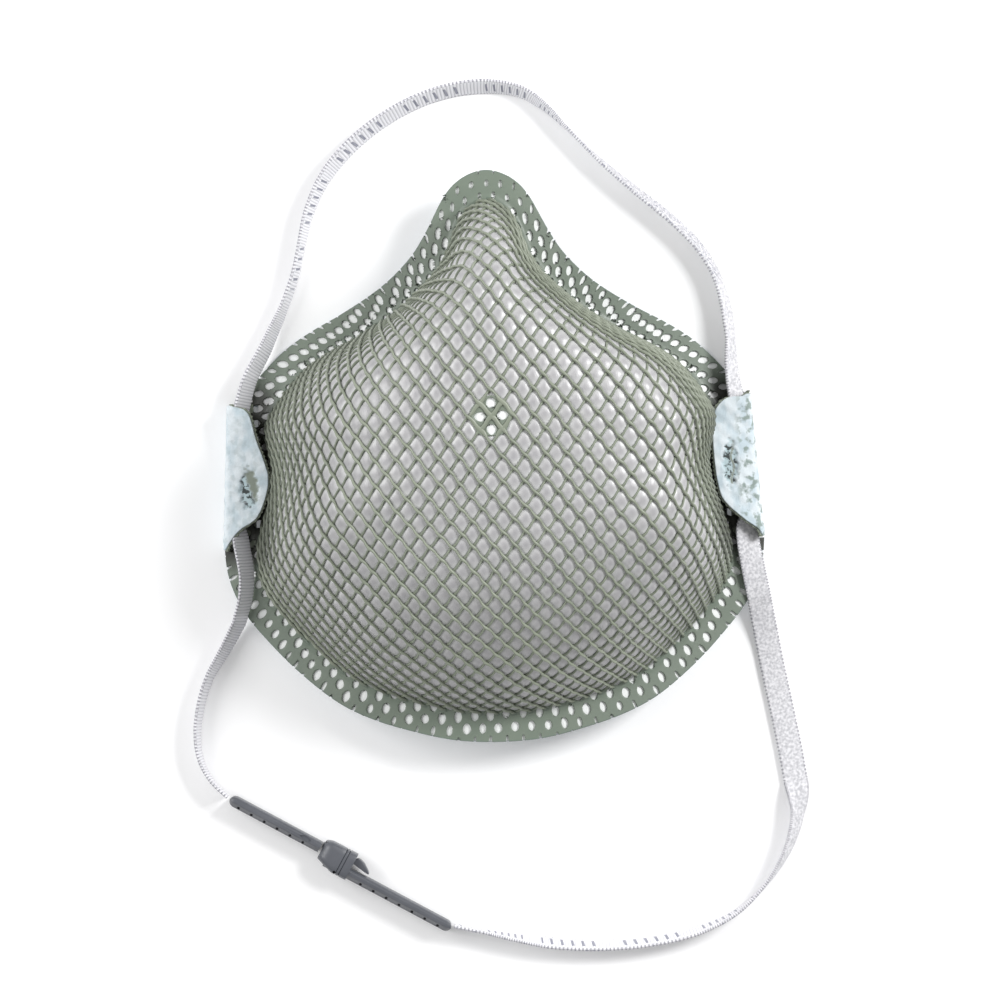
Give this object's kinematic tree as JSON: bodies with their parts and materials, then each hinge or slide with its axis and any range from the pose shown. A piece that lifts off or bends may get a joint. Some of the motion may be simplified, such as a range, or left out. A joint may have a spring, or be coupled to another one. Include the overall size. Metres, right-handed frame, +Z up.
{
  "type": "disposable dust mask",
  "caption": "Moulded cup dust mask with a diamond net shell, folded strap tabs and an elastic head strap closed by a slim snap buckle.",
  "frame": {"origin": "middle of the cup's footprint, on the surface that the mask lies on, rim down", "axes": "+Z up through the crown of the cup, +Y toward the nose, +X to the wearer's left"},
  "size_m": [0.1472, 0.2118, 0.059],
  "materials": {
    "net_plastic": "soft moulded net, grey-green",
    "cover_web": "pale grey spunbonded web",
    "filter_media": "grey needled filter felt",
    "liner_fabric": "soft white nonwoven with a faint blue tint",
    "nose_foam": "soft open-cell foam",
    "strap_elastic": "ribbed knitted elastic",
    "buckle_plastic": "satin dark grey moulded plastic"
  },
  "bodies": {
    "mask": {"net_shell": "net_plastic", "cover_web": "cover_web", "filter_media": "filter_media", "inner_liner": "liner_fabric", "crown_weld": "net_plastic", "nose_foam": "nose_foam", "tab_liner_left": "liner_fabric", "tab_net_left": "net_plastic", "tab_weld_left": "net_plastic", "tab_liner_right": "liner_fabric", "tab_net_right": "net_plastic", "tab_weld_right": "net_plastic", "strap_upper": "strap_elastic", "strap_in_left_tab": "strap_elastic", "strap_in_right_tab": "strap_elastic", "strap_lower_left": "strap_elastic", "strap_lower_right": "strap_elastic", "buckle_female": "buckle_plastic"},
    "buckle_male_half": {"buckle_male": "buckle_plastic"},
    "buckle_latch": {"buckle_tongue": "buckle_plastic"}
  },
  "joints": [
    {"name": "buckle_release", "type": "slide", "parent": "mask", "child": "buckle_male_half", "axis": [-0.8704, 0.4924, 0], "range_m": [0, 0.014], "deforming": ["strap_lower_left"]},
    {"name": "latch_flex", "type": "hinge", "parent": "buckle_male_half", "child": "buckle_latch", "pos_m": [-0.04374, -0.09398, 0.0037], "axis": [0, 0, 1], "range_deg": [-3.5, 0], "stiffness_Nm_per_rad": 0.05}
  ]
}
